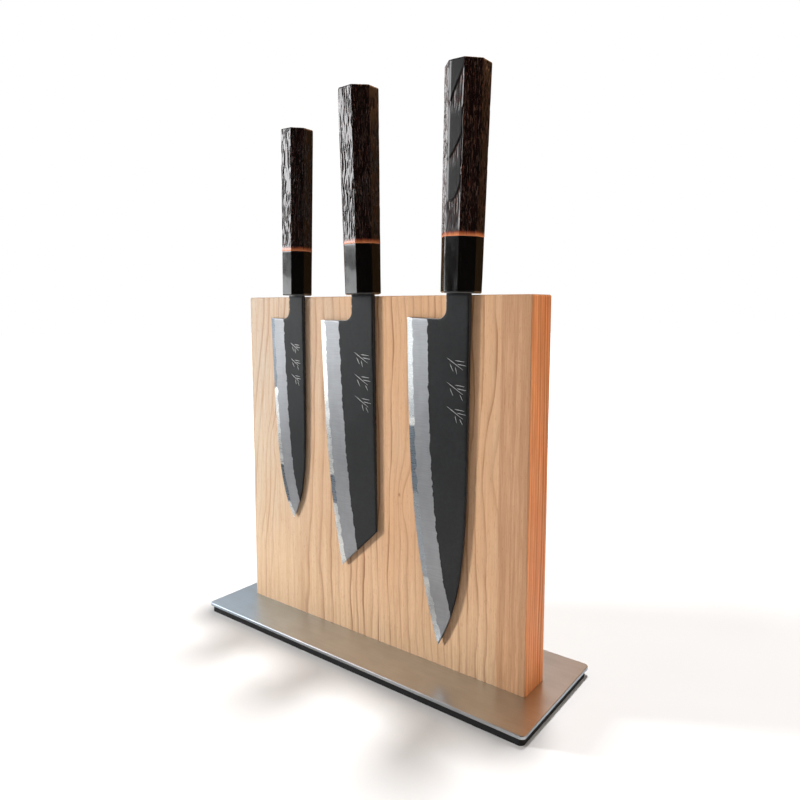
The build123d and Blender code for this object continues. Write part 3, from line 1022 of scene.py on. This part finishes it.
def floor():
    """Large pale disc. Far out it glows for the camera alone, so that its edge doesn't show."""
    count = FLOOR_SPOKES
    turns = [2 * math.pi * i / count for i in range(count)]
    verts = [(0.0, 0.0, 0.0)]
    for r in range(1, FLOOR_RINGS + 1):
        radius = FLOOR_REACH_M * (r / FLOOR_RINGS) ** 2
        verts += [(radius * math.cos(a), radius * math.sin(a), 0.0) for a in turns]
    faces = [(0, 1 + i, 1 + (i + 1) % count) for i in range(count)]
    for r in range(FLOOR_RINGS - 1):
        a, b = 1 + r * count, 1 + (r + 1) * count
        faces += [(a + i, b + i, b + (i + 1) % count, a + (i + 1) % count) for i in range(count)]
    mesh = bpy.data.meshes.new("floor")
    mesh.from_pydata(verts, [], faces)
    disc = bpy.data.objects.new("floor", mesh)
    bpy.context.scene.collection.objects.link(disc)
    s = Surface("floor_white", Roughness=0.7, Specular_IOR_Level=0.1, Emission_Color=WHITE)
    place = s.place()
    x, y, _ = s.parts(place)
    away = s.math("SQRT", s.add(s.times(x, x), s.times(y, y)))
    path = s.node("ShaderNodeLightPath")
    grit = s.noise(place, (90.0, 90.0, 90.0), detail=2.0, seed=1.0)
    pale = s.mix(grit, (0.86, 0.86, 0.86, 1), (0.90, 0.90, 0.90, 1))
    in_gloss = s.mix(s.step(away, MIRRORED_FROM, MIRRORED_TO), MIRRORED_NEAR, MIRRORED_FAR)
    s.set("Base Color", s.mix(path.outputs["Is Glossy Ray"], pale, in_gloss))
    glow = s.step(away, GLOW_FROM, GLOW_TO, FLOOR_NEAR_GLOW, FLOOR_FAR_GLOW)
    s.set("Emission Strength", s.times(path.outputs["Is Camera Ray"], glow))
    mesh.materials.append(s.material)


AIM_HEIGHT_M = 0.20
# Lamps: degrees round from straight ahead, then in metres how far out, how high and how
# large, then radiance and colour. Those in the first group show only in the object's gloss,
# and those in the second only light it, so that reflections and shading are set apart.
GLOSS_LAMPS = (
    ("window_low", -58.0, 1.30, 0.155, (1.21, 0.31), 2.25, (0.97, 0.99, 1.0)),
    ("window_high", -59.2, 1.30, 0.75, (1.17, 0.75), 3.9, (0.97, 0.98, 1.0)),
    ("left", -100.0, 1.20, 0.45, (0.60, 0.60), 3.2, (0.98, 0.99, 1.0)),
)
SHADING_LAMPS = (
    ("key", -60.0, 1.40, 0.25, (0.20, 0.20), 278.0, (0.98, 0.99, 1.0)),
    ("top", 176.0, 0.27, 1.60, (0.17, 0.17), 245.0, (1.0, 1.0, 1.0)),
    ("warm_side", 84.0, 1.30, 0.32, (0.6, 0.6), 6.5, (1.0, 0.92, 0.84)),
)


def panel(name, direction, distance, height, size, radiance, colour, gloss):
    """Soft rectangular lamp turned to the object: upright if it's for gloss."""
    lamp = bpy.data.lights.new(name, "AREA")
    lamp.shape = "RECTANGLE"
    lamp.size, lamp.size_y = size
    lamp.energy = radiance * math.pi * size[0] * size[1]
    lamp.color = colour
    shown = bpy.data.objects.new(name, lamp)
    bpy.context.scene.collection.objects.link(shown)
    shown.visible_camera = False
    shown.visible_glossy = gloss
    shown.visible_diffuse = not gloss
    a = math.radians(direction)
    place = Vector((distance * math.sin(a), -distance * math.cos(a), height))
    shown.location = place
    aim = Vector((0, 0, AIM_HEIGHT_M)) - place
    if gloss:
        aim.z = 0
    shown.rotation_euler = aim.to_track_quat("-Z", "Y").to_euler()


ROOM_GLOW = 0.095           # strength of the even light from all round
ROOM_TINT = (1.0, 0.86, 0.74, 1)
# What the object's gloss mirrors of the room.
ROOM_DARK = (0.012, 0.010, 0.009, 1)
ROOM_EMBER = (0.070, 0.036, 0.015, 1)
ROOM_PALE = (1.02, 1.01, 1.00, 1)
ROOM_WARM = (1.00, 0.51, 0.25, 1)
# Where the room changes, as parts of a direction: front to back, low to high, left to right.
TO_BACK, TO_TOP, TO_RIGHT = (0.05, 0.45), (0.26, 0.52), (-0.64, -0.08)


def world():
    """White to the camera, a dim even light, and in gloss a room."""
    made = bpy.data.worlds.new("studio")
    made.use_nodes = True
    w = Nodes(made.node_tree)
    path = w.node("ShaderNodeLightPath")
    for_gloss = background(w, room_gradient(w), 1.0)
    for_light = background(w, ROOM_TINT, ROOM_GLOW)
    unseen = mix_shaders(w, path.outputs["Is Glossy Ray"], for_light, for_gloss)
    seen = mix_shaders(w, path.outputs["Is Camera Ray"], unseen, background(w, WHITE, 1.0))
    w.feed(w.node("ShaderNodeOutputWorld").inputs[0], seen)
    bpy.context.scene.world = made


def background(w, colour, strength):
    made = w.node("ShaderNodeBackground")
    w.feed(made.inputs["Color"], colour)
    w.feed(made.inputs["Strength"], strength)
    return made.outputs[0]


def mix_shaders(w, factor, first, second):
    made = w.node("ShaderNodeMixShader")
    for index, given in enumerate((factor, first, second)):
        w.feed(made.inputs[index], given)
    return made.outputs[0]


def room_gradient(w):
    """Dark in front, and behind an ember glow low down, pale to the left and warm to the
    right higher up."""
    x, y, z = w.parts(w.node("ShaderNodeTexCoord").outputs["Generated"])
    behind = w.step(y, *TO_BACK)
    high = w.step(z, *TO_TOP)
    tone = w.mix(w.step(x, *TO_RIGHT), ROOM_PALE, ROOM_WARM)
    low = w.mix(behind, ROOM_DARK, ROOM_EMBER)
    return w.mix(w.times(behind, high), low, tone)


CAMERA_PLACE_M = (0.28947, -0.35466, 0.23964)
CAMERA_TURN, CAMERA_DIP = -37.253, 5.929        # degrees, from looking along +Y
CAMERA_SENSOR, CAMERA_LENS = 36.0, 29.80
CAMERA_SHIFT = (-0.0037, -0.0301)
CAMERA_NEAR_M = 0.01


def camera():
    """Standing to the right of the block, a little above its middle, looking back at it."""
    data = bpy.data.cameras.new("camera")
    data.sensor_width = CAMERA_SENSOR
    data.lens = CAMERA_LENS
    data.shift_x, data.shift_y = CAMERA_SHIFT
    data.clip_start = CAMERA_NEAR_M
    shown = bpy.data.objects.new("camera", data)
    bpy.context.scene.collection.objects.link(shown)
    shown.location = CAMERA_PLACE_M
    turn, dip = math.radians(CAMERA_TURN), math.radians(CAMERA_DIP)
    flat = math.cos(dip)
    ahead = Vector((math.sin(turn) * flat, math.cos(turn) * flat, -math.sin(dip)))
    shown.rotation_euler = ahead.to_track_quat("-Z", "Y").to_euler()
    bpy.context.scene.camera = shown


floor()
for lamp in GLOSS_LAMPS:
    panel(*lamp, gloss=True)
for lamp in SHADING_LAMPS:
    panel(*lamp, gloss=False)
world()
camera()
bpy.context.scene.view_settings.view_transform = "Standard"
